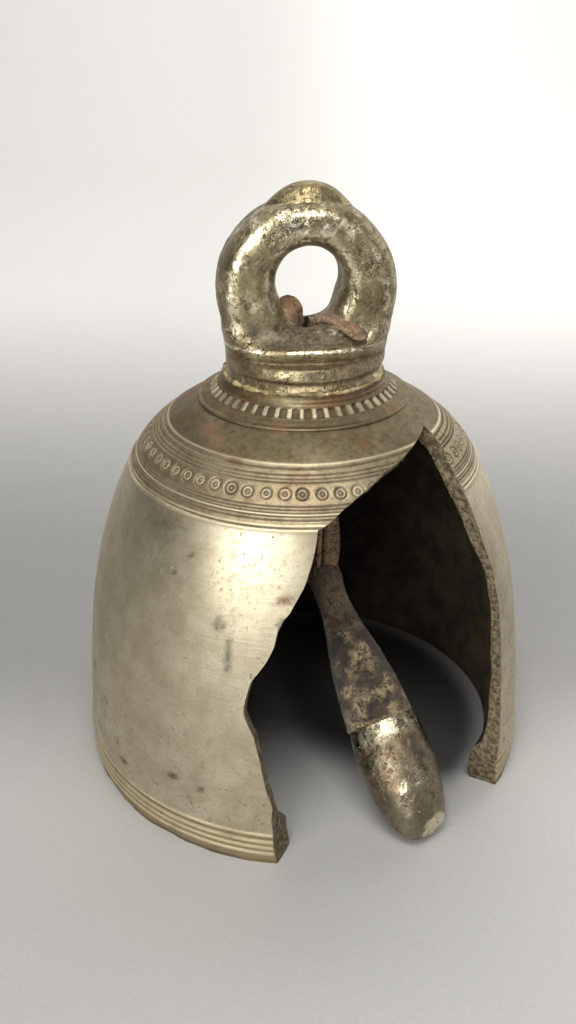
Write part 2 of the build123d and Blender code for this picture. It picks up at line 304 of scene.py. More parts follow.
def shell_rows():
    """The outer rows from rim to seat: heights, radii, outward (radial, up) normals, columns."""
    z = np.concatenate([np.linspace(a, b, n, endpoint=False) for a, b, n, _ in ROW_BANDS])
    columns = np.concatenate([np.full(n, c) for _, _, n, c in ROW_BANDS])
    r = curve(BODY, z)
    above, below = z + 0.2, np.maximum(z - 0.2, 0)
    slope = (curve(BODY, above) - curve(BODY, below)) / (above - below)
    normal = np.stack([np.ones_like(z), -slope], axis=1)
    crown = np.array(CROWN, float)
    along = np.concatenate([[0], np.cumsum(np.hypot(*np.diff(crown, axis=0).T))])
    s = np.linspace(0, along[-1], CROWN_ROWS)
    crown_r, crown_z = np.interp(s, along, crown[:, 0]), np.interp(s, along, crown[:, 1])
    crown_n = np.stack([np.gradient(crown_z), -np.gradient(crown_r)], axis=1)
    toothed = (crown_z > TOOTH_BAND[0] - 0.25) & (crown_z < TOOTH_BAND[1] + 0.25)
    normal = np.concatenate([normal, crown_n])
    normal /= np.linalg.norm(normal, axis=1)[:, None]
    return (np.concatenate([z, crown_z]), np.concatenate([r, crown_r]), normal,
            np.concatenate([columns, np.where(toothed, TOOTH_COLUMNS, CROWN_COLUMNS)]))


def edge_bearing(line, z, seed):
    """The bearing of the break's edge at a height, ragged, and true at its two ends."""
    zs, bs = np.array(line, float).T
    b = np.interp(z, zs, bs)
    p = np.stack([0 * z, 0 * z, z], axis=-1)
    ragged = 0.3 * noise(p, 4.4, seed) + 0.05 * noise(p, 1.6, seed + 1)
    return b + ragged * smooth(APEX_Z, APEX_Z - 4, z)


def shell_relief(z, bearing, radius):
    """Height of the surface above the plain profile, with its dirt and wear."""
    p = around(bearing, radius, z)
    g = 0.09 * noise(p, 24, 1) + 0.035 * noise(p, 6.5, 2)
    dirt, wear = np.zeros_like(bearing), np.zeros_like(bearing)
    uneven = 1 + 0.35 * noise(p, 9, 3)
    wander = 0.07 * noise(p, 17, 4)
    for height, width, size in RIDGES:
        h = hump(z + wander, height, width) * uneven
        g, wear = g + size * h, np.maximum(wear, h)
    for height, width, depth in GROOVES:
        h = hump(z + wander, height, width) * uneven
        g, dirt = g - depth * h, np.maximum(dirt, h * min(1, depth * 5.5))
    if z < WORN_LIP_Z:
        worn = 0.28 + 0.3 * noise(p, 7, 5) + 0.22 * noise(p, 2.2, 6)
        g -= (WORN_LIP_Z - z) / WORN_LIP_Z * worn
    if abs(z - DOT_Z) < 1.9:
        pitch = 360 / DOT_COUNT
        k = np.round(bearing / pitch)
        cell = np.stack([k % DOT_COUNT, 0 * k, 0 * k], axis=-1)
        u = np.radians(bearing - k * pitch - 0.28 * lattice(cell, 7)) * radius
        v = (z - DOT_Z - 0.1 * lattice(cell, 8)) * DOT_SLOPE
        reach = np.hypot(u, v) / (0.86 + 0.05 * lattice(cell, 9))
        depth = 0.27 + 0.1 * lattice(cell, 10)
        cut = (hump(reach, DOT_RINGS[1], 0.24) + 0.9 * hump(reach, DOT_RINGS[0], 0.26)
               + 0.2 * hump(reach, 0, 0.2))
        cut *= 1 + 0.35 * noise(p, 1.4, 11)
        g, dirt = g - depth * cut, np.maximum(dirt, np.clip(cut * depth * 3.4, 0, 1))
        wear = np.maximum(wear, 0.75 * hump(reach, 1.05, 0.24))
    if TOOTH_BAND[0] - 0.2 < z < TOOTH_BAND[1] + 0.2:
        phase = (bearing - TOOTH_PHASE) / (360 / TOOTH_COUNT)
        k = np.round(phase)
        cell = np.stack([k % TOOTH_COUNT, 0 * k, 0 * k], axis=-1)
        side = np.abs(phase - k + 0.03 * lattice(cell, 12))
        gap = smooth(0.18, 0.26, side + 0.02 * noise(p, 0.8, 13))
        deep = float(smooth(TOOTH_BAND[0] - 0.15, TOOTH_BAND[0] + 0.1, z)
                     * (1 - smooth(TOOTH_BAND[1] - 0.1, TOOTH_BAND[1] + 0.15, z)))
        g, dirt = g - 0.6 * gap * deep, np.maximum(dirt, 0.62 * gap * deep)
        wear = np.maximum(wear, 0.55 * (1 - gap) * deep)
    return g, dirt, wear


def spots(z, bearing, radius, table):
    """Ragged spots on the shell, 1 at the middle of a full one."""
    p = around(bearing, radius, z)
    found = np.zeros_like(bearing)
    for centre_b, centre_z, wide, tall, strength, seed in table:
        du = ((bearing - centre_b + 180) % 360 - 180) * np.pi / 180 * radius / wide
        reach = np.hypot(du, (z - centre_z) / tall)
        ragged = 0.35 * noise(p, 0.35 * wide + 0.35 * tall, seed, 2)
        found = np.maximum(found, strength * (1 - smooth(0.5, 1.15, reach + ragged)))
    return found


def shell_stains(z, bearing, radius):
    """Green run, rust-brown patches and dark spots, each 0 to 1."""
    p = around(bearing, radius, z)
    green, rust, dark = (spots(z, bearing, radius, table)
                         for table in (GREEN_SPOTS, RUST_SPOTS, DARK_SPOTS))
    blotch = smooth(0.15, 0.75, noise(p, 3.6, 26, 3)) * smooth(46, 8, z + 6 * noise(p, 14, 27))
    return green, rust, np.maximum(dark, 0.55 * blotch)


def build_shell():
    heights, radii, normals, columns = shell_rows()
    skin = Skin("dirt", "wear", "inside", "broken", "green", "rust", "dark")
    low = heights < APEX_Z
    left = np.where(low, edge_bearing(LEFT_EDGE, heights, 41), APEX_BEARING)
    right = np.where(low, edge_bearing(RIGHT_EDGE, heights, 43), APEX_BEARING)
    edge_left, edge_right = [], []
    for i, z in enumerate(heights):
        step = 360 / columns[i]
        first, last = right[i], left[i] + 360
        start, end = np.ceil((first + 0.3 * step) / step), np.floor((last - 0.3 * step) / step)
        bearing = np.concatenate([[first], np.arange(start, end + 1) * step, [last]])
        g, dirt, wear = shell_relief(z, bearing, radii[i])
        green, rust, dark = shell_stains(z, bearing, radii[i])
        p = around(bearing, radii[i] + g * normals[i, 0], 0)
        p[:, 2] = np.maximum(z + g * normals[i, 1], 0)
        row = skin.add(p, dirt=dirt, wear=wear, green=green, rust=rust, dark=dark)
        edge_right.append(p[0])
        edge_left.append(p[-1])
        skin.run_on(row, bearing)
    seat_row = skin.last

    # inside wall, from the rim's flat foot to the throat
    stop = int(np.argmax(heights >= APEX_Z))
    picks = sorted(set(range(0, stop, 3)) | {stop})
    thick = curve(WALL, heights)
    inner_r = radii - thick * normals[:, 0]
    inner_z = heights - thick * normals[:, 1]
    low = heights < FOOT_TOP
    inner_r[low], inner_z[low] = FOOT_R - 0.4 * heights[low], heights[low]
    bevel = 2.4 * (1 - smooth(9, 16, heights))
    left_in, right_in = left + bevel, right - 0.3 * bevel
    left_in[stop], right_in[stop] = APEX_BEARING, APEX_BEARING
    skin.last, foot, inside_left, inside_right = None, None, [], []
    for i in picks:
        bearing = np.linspace(right_in[i], left_in[i] + 360, INSIDE_COLUMNS)
        p = around(bearing, inner_r[i], inner_z[i])
        g = (0.3 * noise(p, 9, 51) + 0.12 * noise(p, 2.6, 52)) * smooth(0, 3, heights[i])
        p = p - around(bearing, g, 0)
        row = skin.add(p, inside=1)
        inside_right.append(p[0])
        inside_left.append(p[-1])
        skin.run_on(row, bearing)
        foot = foot or skin.last
    for r, z in THROAT:
        bearing = np.linspace(APEX_BEARING, APEX_BEARING + 360, INSIDE_COLUMNS)
        skin.run_on(skin.add(around(bearing, r, z), inside=1), bearing)
    skin.run_on(*seat_row)

    # the rim's flat foot
    outer_b = np.linspace(right[0], left[0] + 360, 241)
    skin.last = None
    for share in (0, 0.33, 0.67, 1):
        if share == 0:
            g = shell_relief(0.0, outer_b, radii[0])[0]
            row, bearing = skin.add(around(outer_b, radii[0] + g, 0)), outer_b
        elif share == 1:
            row, bearing = foot
        else:
            bearing = np.linspace(right[0] * (1 - share) + right_in[0] * share,
                                  left[0] * (1 - share) + left_in[0] * share + 360, 161)
            r = radii[0] * (1 - share) + inner_r[0] * share
            row = skin.add(around(bearing, r, 0), dirt=0.5)
        skin.run_on(row, bearing)

    # the two broken faces, as columns from the outer edge to the inner one
    for outer, inner, seed in ((edge_left, inside_left, 61), (edge_right, inside_right, 71)):
        outer = np.array(outer[:stop + 1])
        start, end = outer[picks], np.array(inner)
        along = np.gradient(start, axis=0)
        face = np.cross(along, end - start)
        face /= np.linalg.norm(face, axis=1)[:, None] + 1e-9
        calm = smooth(0, 1.2, heights[picks]) * smooth(APEX_Z, APEX_Z - 2.5, heights[picks])
        skin.last = (skin.add(outer), heights[:stop + 1])
        for m in range(1, BREAK_COLUMNS + 1):
            t = m / BREAK_COLUMNS
            p = start * (1 - t) + end * t
            if m < BREAK_COLUMNS:
                swell = math.sin(math.pi * t) ** 0.6
                rough = 0.5 * noise(p, 2.6, seed, 2) + 0.32 * noise(p, 0.9, seed + 1)
                p = p + face * (calm * swell * rough)[:, None]
            skin.run_on(skin.add(p, broken=1), heights[picks])
    return skin.mesh("bell_shell_bronze", sharp_deg=42, weld=True)


# ---- solids from distance fields

def round_and(a, b, radius):
    """The overlap of two fields, with its edge rounded."""
    corner = np.hypot(np.maximum(a + radius, 0), np.maximum(b + radius, 0))
    return np.minimum(np.maximum(a, b), -radius) + corner


def round_or(a, b, radius):
    """The union of two fields, with a fillet between them."""
    corner = np.hypot(np.maximum(radius - a, 0), np.maximum(radius - b, 0))
    return np.maximum(np.minimum(a, b), radius) - corner


def outline_distance(x, y, outline):
    """Signed distance from points to a closed outline, negative inside."""
    nearest, inside = np.full(x.shape, 1e9), np.zeros(x.shape, bool)
    for (ax, ay), (bx, by) in zip(outline, outline[1:] + outline[:1]):
        ex, ey = bx - ax, by - ay
        t = np.clip(((x - ax) * ex + (y - ay) * ey) / (ex * ex + ey * ey + 1e-12), 0, 1)
        nearest = np.minimum(nearest, np.hypot(x - ax - t * ex, y - ay - t * ey))
        if ay != by:
            inside ^= ((ay > y) != (by > y)) & (x < ex * (y - ay) / ey + ax)
    return np.where(inside, -nearest, nearest)


def sample(field, low, high, step):
    """The surface of a field inside a box, in millimetres."""
    low = np.array(low, float)
    counts = np.ceil((np.array(high) - low) / step).astype(int) + 1
    sides = [low[k] + step * np.arange(counts[k]) for k in range(3)]
    return surface_net(field(np.stack(np.meshgrid(*sides, indexing="ij"), axis=-1)), low, step)


# ---- suspension loop, cap and braze

LOOP_YAW = math.radians(6)
LOOP_MIDDLE, LOOP_OUT_R, LOOP_HALF_DEPTH = (0.6, 124.3), 21.2, 8.5
LOOP_HALF_WIDTH = [(104, 17.6), (109, 17.9), (113, 18.7), (117, 20.0), (121, 20.95),
                   (124.3, 21.2), (127, 21.2)]  # height, half width
LOOP_FOOT_Z = 109
EYE_MIDDLE = (0.85, 127.0)
EYE_R, EYE_LOW_R, EYE_FLOOR = 7.9, 5.6, 114.4  # round above, narrower at the floor
DRUM = [(104, 19.5), (105.0, 19.3), (105.7, 18.6), (106.1, 18.2), (106.6, 18.2), (107.0, 18.8),
        (108.4, 18.5), (109.8, 18.1)]  # height, radius
DRUM_TOP = 109.9
# The block between the drum and the ring: a rounded oblong whose top slopes up to the ring.
BLOCK_HALF_WIDTH, BLOCK_HALF_DEPTH, BLOCK_POWER = 18.3, 14.6, 2.7
BLOCK_EDGE, BLOCK_SLOPE = 112.9, 0.3
DRUM_GROOVE_Z, BLOCK_GROOVE_Z = 106.2, 110.1
THONG_HOLE_R = 4.5
LOOP_STEP = 0.44  # sampling


def turned_by(p, angle):
    """Points turned about Z."""
    c, s = math.cos(angle), math.sin(angle)
    x, y, z = np.moveaxis(p, -1, 0)
    return np.stack([c * x - s * y, s * x + c * y, z], axis=-1)


def loop_terms(p):
    """Distances from the outline, eye, faces, drum and block, and the depth off the plane."""
    x, y, z = np.moveaxis(turned_by(p, -LOOP_YAW), -1, 0)
    dx, dz = x - LOOP_MIDDLE[0], z - LOOP_MIDDLE[1]
    outline = np.where(dz > 0, np.hypot(dx, dz) - LOOP_OUT_R,
                       np.abs(dx) - curve(LOOP_HALF_WIDTH, z))
    # the eye is the hull of a large circle above a small one
    low_z = EYE_FLOOR + EYE_LOW_R
    span = EYE_MIDDLE[1] - low_z
    lean = (EYE_LOW_R - EYE_R) / span
    upright = math.sqrt(1 - lean * lean)
    ex, ez = np.abs(x - EYE_MIDDLE[0]), z - low_z
    along = upright * ez - lean * ex
    eye = np.where(along < 0, np.hypot(ex, ez) - EYE_LOW_R,
                   np.where(along > span * upright, np.hypot(ex, ez - span) - EYE_R,
                            upright * ex + lean * ez - EYE_LOW_R))
    faces = np.abs(y) - LOOP_HALF_DEPTH
    drum = np.hypot(x, y) - np.interp(z, *np.array(DRUM).T)
    bx, by = np.abs(x) / BLOCK_HALF_WIDTH, np.abs(y) / BLOCK_HALF_DEPTH
    reach = (bx ** BLOCK_POWER + by ** BLOCK_POWER) ** (1 / BLOCK_POWER)
    return outline, -eye, faces, drum, (reach - 1) * BLOCK_HALF_DEPTH, np.abs(y)


def loop_field(p):
    outline, eye, faces, drum, block, depth = loop_terms(p)
    z = p[..., 2]
    dished = faces + 0.4 * hump(outline - eye, 0, 4.5) + 0.25 * noise(p, 9, 81)
    ring = round_and(outline + 0.3 * noise(p, 11, 82), dished, 6.3)
    ring = round_and(ring, eye + 0.15 * noise(p, 5, 83), 5.0)
    ring = np.maximum(ring, LOOP_FOOT_Z - z)
    slope = z - BLOCK_EDGE - BLOCK_SLOPE * np.minimum(BLOCK_HALF_DEPTH - depth, 9)
    slope = slope * 0.958 + 0.2 * noise(p, 5, 89)
    side = block + 0.15 * noise(p, 7, 84) + 0.35 * hump(z, BLOCK_GROOVE_Z + 0.1, 0.7)
    top = round_and(side, slope, 0.8)
    foot = round_and(drum + 0.12 * noise(p, 6, 84), z - DRUM_TOP, 0.5)
    foot = round_or(np.maximum(foot, SEAT_Z - z), np.maximum(top, SEAT_Z + 1 - z), 0.4)
    body = round_or(ring, foot, 3.6)
    pits = smooth(0.3, 0.8, noise(p, 1.9, 85, 2))
    pits = pits * (0.35 + 0.65 * smooth(-0.2, 0.5, noise(p, 12, 86)))
    body = body + 0.42 * pits * smooth(146, 132, z) + 0.06 * noise(p, 1.3, 87)
    hole = np.maximum(np.hypot(p[..., 0], p[..., 1]) - THONG_HOLE_R, z - EYE_FLOOR - 2)
    return np.maximum(body, -hole)


def build_loop():
    points, faces = sample(loop_field, (-24, -19.9, SEAT_Z - 0.6), (24.6, 19.9, 147), LOOP_STEP)
    outline, eye, sides, drum, block, _ = loop_terms(points)
    z = points[:, 2]
    above = smooth(113.2, 116, z)
    outer_ridge = hump(outline, sides - 2.0, 1.7) * smooth(-5.6, -3.0, outline)
    eye_ridge = hump(eye, sides - 1.2, 1.5) * smooth(-4.6, -2.2, eye) * smooth(116.5, 120.5, z)
    # painted highlight: the front of the top crossbar, where the overhead lamp's highlight falls,
    # goes into the wear mask, so this mask holds real wear on ridges and edges and also this
    # painted highlight in the pale worn colour
    painted_bar_highlight = smooth(134, 139, z) * hump(outline - eye, -1.0, 5.0) * smooth(-7.5, -3.5, sides)
    wear = most(above * most(outer_ridge, 0.95 * eye_ridge),
                hump(z, BLOCK_EDGE - 0.1, 0.36) * smooth(-1.6, -0.4, block),
                0.55 * above * smooth(0.05, 0.5, noise(points, 3.4, 95, 3)), 0.95 * painted_bar_highlight)
    wear *= smooth(-0.5, 0.35, noise(points, 2.6, 91, 3) + 0.1)
    ledge = hump(z, BLOCK_GROOVE_Z, 0.6) + 0.8 * hump(z, DRUM_GROOVE_Z, 0.5)
    caked = smooth(-6, -0.5, np.maximum(drum, block)) * (0.55 + 0.25 * noise(points, 5, 92))
    saddle = (1 - smooth(117, 120, z)) * smooth(112.9, 113.6, z) * smooth(-0.6, -2.2, block)
    dirt = most(smooth(0.1, 0.7, noise(points, 1.9, 85, 2)) * 0.75 * smooth(146, 130, z),
                ledge * caked,
                smooth(-2.0, -0.3, eye) * smooth(-3, -7, sides) * above * 0.75,
                saddle * (0.85 + 0.15 * noise(points, 3, 96, 2)),
                0.45 * smooth(-5.5, -1.0, outline) * smooth(-1.5, -5.0, sides) * above)
    rust = most(smooth(0.1, 0.6, noise(points, 5, 93, 2)) * (1 - above) * 0.8, ledge)
    return make_object("crown_loop_bronze", points * MM, faces,
                       {"dirt": dirt, "wear": wear, "rust": rust})


CAP_CENTRE = (0.8, 0, 144.6)
CAP_R, CAP_RISE, CAP_DEPTH = 10.6, 3.9, 0.5  # depth: squashed front to back
CAP_LEAN = math.radians(2.5)
CAP_SKIRT = [(-0.7, -2.2), (-0.25, -1.9), (-0.08, -1.2), (0, -0.5), (-0.02, -0.1), (-0.2, 0.0),
             (-0.24, 0.08), (-0.12, 0.14), (-0.16, 0.2), (-0.26, 0.26)]  # past CAP_R, height
AXIS_R = 0.02  # the rows end this close to the axis
CAP_ROWS, CAP_COLUMNS = 46, 201


def build_cap():
    """An oval lens that sags over the loop's top, with a lip round its edge."""
    sphere_r = (CAP_R ** 2 + CAP_RISE ** 2) / (2 * CAP_RISE)
    rows = [(AXIS_R, CAP_SKIRT[0][1])] + [(CAP_R + out, z) for out, z in CAP_SKIRT]
    rows += [(r, CAP_RISE - sphere_r + math.sqrt(sphere_r ** 2 - r * r))
             for r in np.linspace(CAP_R - 0.4, AXIS_R, CAP_ROWS)]
    skin = Skin("dirt", "wear", "rust")
    bearing = np.linspace(0, 360, CAP_COLUMNS)
    for r, z in rows:
        p = around(bearing, r, z)
        g = 0.1 * noise(p, 4, 101) + 0.05 * noise(p, 1.4, 102)
        p = p + g[:, None] * UP + around(bearing, 0.12 * noise(p, 3, 103) * (r > 5), 0)
        drop = 0.014 * (p[:, 1] * CAP_DEPTH) ** 2 + 0.019 * p[:, 0] ** 2 - 0.06 * p[:, 0] - 0.3
        x, y, h = (p * [1, CAP_DEPTH, 1] - UP * drop[:, None]).T
        c, s = math.cos(CAP_LEAN), math.sin(CAP_LEAN)
        p = np.stack([x * c + h * s, y, h * c - x * s], axis=1) + np.array(CAP_CENTRE)
        p = turned_by(p, LOOP_YAW)
        lip = 0.7 * hump(z, -0.4, 0.3) * (r > 9) + 0.6 * hump(z, 0.3, 0.12) * (r > 9)
        skin.run_on(skin.add(
            p, wear=lip * (0.7 + 0.5 * noise(p, 3, 105)),
            dirt=0.9 * hump(z, 0.06, 0.1) * (r > 9) + 0.5 * smooth(0.2, 0.7, noise(p, 2.3, 104, 2)),
            rust=0.7 * smooth(0.15, 0.6, noise(p, 3.4, 106, 2))))
    return skin.mesh("loop_cap_bronze", sharp_deg=55, weld=True)


BRAZE_R, BRAZE_LIFT = 19.3, 0.25


def build_braze():
    """The crust of braze where the loop stands on the bell's seat."""
    skin = Skin("dirt", "wear")
    bearing = np.linspace(0, 360, 481)
    for turn in np.linspace(0, 2 * math.pi, 17):
        p = around(bearing, BRAZE_R + 0 * bearing, SEAT_Z + BRAZE_LIFT)
        size = 0.55 + 0.3 * noise(p, 4.1, 111, 2) + 0.3 * noise(p, 1.2, 112, 2)
        p = around(bearing, BRAZE_R + size * math.cos(turn), SEAT_Z + BRAZE_LIFT)
        p = p + UP * (1.2 * size * math.sin(turn))[:, None]
        p = p + np.stack([0.16 * noise(p, 0.8, 113 + k) for k in range(3)], axis=1)
        p[:, 2] = np.maximum(p[:, 2], SEAT_Z - 0.3)
        skin.run_on(skin.add(p, dirt=smooth(0, 0.8, noise(p, 1.6, 114, 2)),
                             wear=smooth(0, 0.7, noise(p, 2.5, 115))))
    return skin.mesh("braze_crust", weld=True)


# ---- clapper and its sleeve

CLAPPER_LEAN = math.radians(45.4)
CLAPPER_DOWN = OUTWARDS * math.sin(CLAPPER_LEAN) - UP * math.cos(CLAPPER_LEAN)
CLAPPER_FRONT = np.cross(CLAPPER_DOWN, SIDEWAYS)
CASTING = [(0, 5), (1.9, 5.5), (3.4, 14), (5, 24), (6.3, 33), (7.4, 38), (8.3, 40),
           (8.85, 42.4), (9.3, 45), (9.5, 48), (9.5, 51.5), (9.3, 55), (8.85, 58.5),
           (8.3, 61.4), (7.6, 64.2), (6.5, 66.8), (5.1, 68.7), (2.9, 69.9),
           (0, 70.2)]  # radius, distance from the eye
EYE_RING_R, EYE_HOLE_R, EYE_THICKNESS = 3.5, 1.6, 2.3
FLOOR_GAP = 0.1
CLAPPER_STEP = 0.42  # sampling
SLEEVE = [(-4.4, 1.6), (-3.7, 2.9), (-2.2, 4.0), (0, 4.45), (4, 4.2), (8, 4.1), (16, 5.3),
          (24, 6.9), (31.5, 8.0), (36, 8.45), (40.3, 8.75)]  # distance from the eye, radius
SLEEVE_ROWS, SLEEVE_SEAM_DEG = 185, 62
SLEEVE_END = [(40.3, 0.06), (40.55, 0.25), (40.6, 0.55), (40.5, 0.85), (40.1, 1.1)]


def clapper_place(p):
    """Points of the clapper's own frame (side, front, down its axis) in the row frame."""
    return (CLAPPER_EYE + p[..., 0:1] * SIDEWAYS + p[..., 1:2] * CLAPPER_FRONT
            + p[..., 2:3] * CLAPPER_DOWN)


def bulb_facet(p):
    """Distance past the worn flat on the bulb's front."""
    return (0.2 * p[..., 0] + 0.55 * p[..., 1] + 0.81 * (p[..., 2] - 60)) - 9.1


def clapper_field(p):
    x, y, s = np.moveaxis(p, -1, 0)
    body = outline_distance(np.hypot(x, y), s, CASTING)
    lug = round_and(np.hypot(y, s) - EYE_RING_R, np.abs(x) - EYE_THICKNESS / 2, 0.5)
    neck = most(np.abs(x) - EYE_THICKNESS / 2, np.abs(y) - 1.6, -s, s - 9)
    solid = round_or(round_or(lug, neck, 0.6), body, 0.6)
    solid = np.maximum(solid, EYE_HOLE_R - np.hypot(y, s))
    solid = round_and(solid, bulb_facet(p) + 0.25 * noise(p, 2.5, 121), 0.8)
    solid = solid + 0.12 * noise(p, 5, 122) + 0.06 * noise(p, 1.6, 123)
    solid = np.maximum(solid, FLOOR_GAP - clapper_place(p)[..., 2])
    return np.maximum(solid, solid + 0.3 * smooth(0.45, 0.85, noise(p, 2.2, 124, 2)))


def build_clapper():
    points, faces = sample(clapper_field, (-10.5, -10.5, -4.6), (10.5, 10.5, 71.2), CLAPPER_STEP)
    s = points[:, 2]
    facet = smooth(-0.9, -0.2, bulb_facet(points))
    patches = smooth(0.4, 0.7, noise(points, 4, 125, 2))
    wear = np.clip(hump(s, 42.6, 2.2) * 0.9 + facet + 0.8 * patches, 0, 1)
    dirt = most(smooth(0.1, 0.65, noise(points, 3.1, 126, 3)) * 0.8, smooth(40.6, 39.8, s))
    rust = smooth(0, 0.6, noise(points, 7, 127, 2)) * 0.7
    return make_object("clapper_bronze", clapper_place(points) * MM, faces,
                       {"dirt": dirt * (1 - 0.7 * wear), "wear": wear, "rust": rust})


def build_sleeve():
    """The leather wrapped round the shank, lapped over itself along one side."""
    skin = Skin("edge", "crust", "turn")
    lap = np.concatenate([np.linspace(0, 352, 150), np.linspace(353.5, 360, 12)])
    rows = [(s, 0.0) for s in np.linspace(SLEEVE[0][0], 39.9, SLEEVE_ROWS)] + SLEEVE_END
    lap_swell = (0.62 * (lap / 360 - 0.5) + 0.25 * hump(lap, 349, 7)
                 - 0.62 * smooth(353, 359.5, lap))
    for s, tuck in rows:
        angle = np.radians(lap + SLEEVE_SEAM_DEG + 5 * math.sin(s / 9))
        r = curve(SLEEVE, np.array([s]))[0] - tuck
        r = r + float(smooth(1, 8, s)) * lap_swell
        p = np.stack([r * np.sin(angle), -r * np.cos(angle), s + 0 * lap], axis=1)
        fibres = 0.16 * noise(p, 1.1, 131, 2) + 0.14 * noise(p * [1, 1, 0.35], 2.6, 132, 2)
        folds = 0.3 * noise(p * [1, 1, 0.3], 5.5, 133) * smooth(30, 8, s) * smooth(-3, 3, s)
        ragged = 0.5 * noise(p, 2.5, 134, 2) * smooth(37.5, 40.3, s)
        r = r + fibres + folds
        p = np.stack([r * np.sin(angle), -r * np.cos(angle), s + ragged], axis=1)
        skin.run_on(skin.add(
            clapper_place(p), edge=most(hump(lap, 350, 4.5), smooth(39.2, 40.2, s) + 0 * lap),
            crust=smooth(-0.15, 0.7, noise(p, 2.6, 135, 3) + 0.2 * smooth(12, 38, s)),
            turn=np.clip(1.1 * smooth(15, 5, s) + 0.35 * noise(p, 2.4, 136, 2), 0, 1)))
    return skin.mesh("clapper_sleeve_leather", weld=True)


# ---- leather thong

def flow(points, count):
    """A smooth run of evenly spaced points through the given ones."""
    points = np.array(points, float)
    along = np.concatenate([[0], np.cumsum(np.linalg.norm(np.diff(points, axis=0), axis=1))])
    s = np.linspace(0, along[-1], count)
    return np.stack([curve(np.stack([along, side], axis=1), s) for side in points.T], axis=1)


def leather_strip(skin, path, facing, width, thickness, seed, fray=0.12):
    """A strip along path, with its broad side facing the given way, all along or point by point."""
    n = len(path)
    width, thickness = np.broadcast_to(width, n), np.broadcast_to(thickness, n)
    along = np.gradient(path, axis=0)
    along /= np.linalg.norm(along, axis=1)[:, None]
    across = np.cross(np.broadcast_to(facing, (n, 3)), along)
    across /= np.linalg.norm(across, axis=1)[:, None]
    face = np.cross(along, across)
    turn = np.linspace(0, 2 * math.pi, 29)
    cx, cy = (np.sign(c) * np.abs(c) ** 0.42 for c in (np.cos(turn), np.sin(turn)))
    edge = np.abs(cx) ** 6
    skin.last = None
    for i in range(n):
        end = min(1.0, (min(i, n - 1 - i) + 0.6) / 2.5)
        half_w, half_t = width[i] / 2 * (0.7 + 0.3 * end), thickness[i] / 2 * (0.55 + 0.45 * end)
        p = path[i] + np.outer(cx * half_w, across[i]) + np.outer(cy * half_t, face[i])
        out = p - path[i]
        out /= np.linalg.norm(out, axis=1)[:, None] + 1e-9
        ridges = 0.1 * np.cos(9.5 * cx) * np.abs(cy)
        g = (0.1 * noise(p, 1.3, seed, 2) + ridges + edge * fray * noise(p, 0.9, seed + 1, 2)
             + 0.12 * noise(p, 4, seed + 2))
        p = p + out * g[:, None]
        row = skin.add(p, edge=edge, crust=smooth(0.1, 0.7, noise(p, 2.4, seed + 3, 3)))
        if i == 0:
            skin.fan(row, skin.add(path[:1], edge=1)[0])
        skin.run_on(row)
    skin.fan(row, skin.add(path[-1:], edge=1)[0])


def swing_points(line, side):
    """(Outwards, height) points of the swing plane, moved sideways off it."""
    return [OUTWARDS * out + SIDEWAYS * off + UP * height
            for (out, height), off in zip(line, np.broadcast_to(side, len(line)))]


NECK_LINE = [(0, 101), (0, 98), (0.1, 95), (1.5, 91.5), (2.6, 89.3)]
NECK_STRANDS = [(-2.1, 1.4, 141), (0.9, 3.5, 145)]  # side, thickness, seed
STRAP_LINE = [(2.3, 90.2), (3.2, 88), (5.6, 82), (8.1, 75.6), (10.1, 69.6), (10.7, 66.5),
              (10.7, 60), (10.5, 54.5), (float(CLAPPER_EYE @ OUTWARDS), CLAPPER_EYE[2] + 0.6)]
# Each strand's side, width at its two ends, thickness along it and seed.
STRAP_STRANDS = [([-2.15] * 8 + [-1.9], (3.9, 3.3), (1.5, 1.5, 1.5, 1.5), 151),
                 ([0.95, 0.95, 0.95, 0.95, 1.0, 1.1, 1.4, 1.3, 1.1], (4.1, 4.6),
                  (3.9, 3.9, 5.0, 4.2), 155)]
# The thong's ends above the eye's floor: a leaf against the left leg, a strip to the right.
# Path, points, (share, width), (share, thickness), facing, the shares it turns over, seed.
TAILS = {
    "thong_left_tail_leather": (
        [(-1.9, 1.0, 98.4), (-1.8, 0.9, 108), (-1.7, -0.4, 113.6), (-1.6, -2.6, 115.4),
         (-2.4, -3.1, 117.6), (-3.4, -2.2, 120.3), (-4.6, -1.0, 122.6)], 60,
        [(0, 3.4), (0.6, 3.4), (0.72, 5.0), (0.86, 6.8), (0.96, 5.4), (1, 2.4)],
        [(0, 1.5), (0.6, 1.6), (0.8, 1.3), (1, 0.8)], (0.5, -0.8, 0.35), (0.5, 0.68), 161),
    "thong_right_tail_leather": (
        [(2.0, 0.2, 98.4), (1.9, 0.3, 108), (2.0, 0.4, 113.4), (2.6, 0.1, 116.0),
         (5.2, -1.6, 117.8), (8.2, -4.6, 118.1), (10.8, -7.9, 117.0), (12.9, -10.0, 115.9),
         (14.9, -10.6, 115.6)], 76,
        [(0, 3.4), (0.5, 3.4), (0.66, 5.0), (0.86, 4.8), (0.96, 3.6), (1, 2.0)],
        [(0, 1.5), (0.5, 1.6), (0.7, 1.9), (1, 1.2)], (0.1, -0.3, 1.0), (0.42, 0.58), 165)}


def build_neck():
    """The two strands at the crown hole, from above the first pivot to below the second."""
    skin = Skin("edge", "crust", "turn")
    for side, thick, seed in NECK_STRANDS:
        path = flow(swing_points(NECK_LINE, side), 34)
        leather_strip(skin, path, SIDEWAYS, 3.7, thick, seed)
    return skin.mesh("thong_neck_leather", weld=True)


def build_strap():
    """The two strands down to the clapper's eye, the front one broad."""
    skin = Skin("edge", "crust", "turn")
    t = np.linspace(0, 1, 90)
    for side, ends, thick, seed in STRAP_STRANDS:
        path = flow(swing_points(STRAP_LINE, side), len(t))
        leather_strip(skin, path, SIDEWAYS, np.linspace(*ends, len(t)),
                      np.interp(t, [0, 0.5, 0.75, 1], thick), seed)
    return skin.mesh("thong_strap_leather", weld=True)


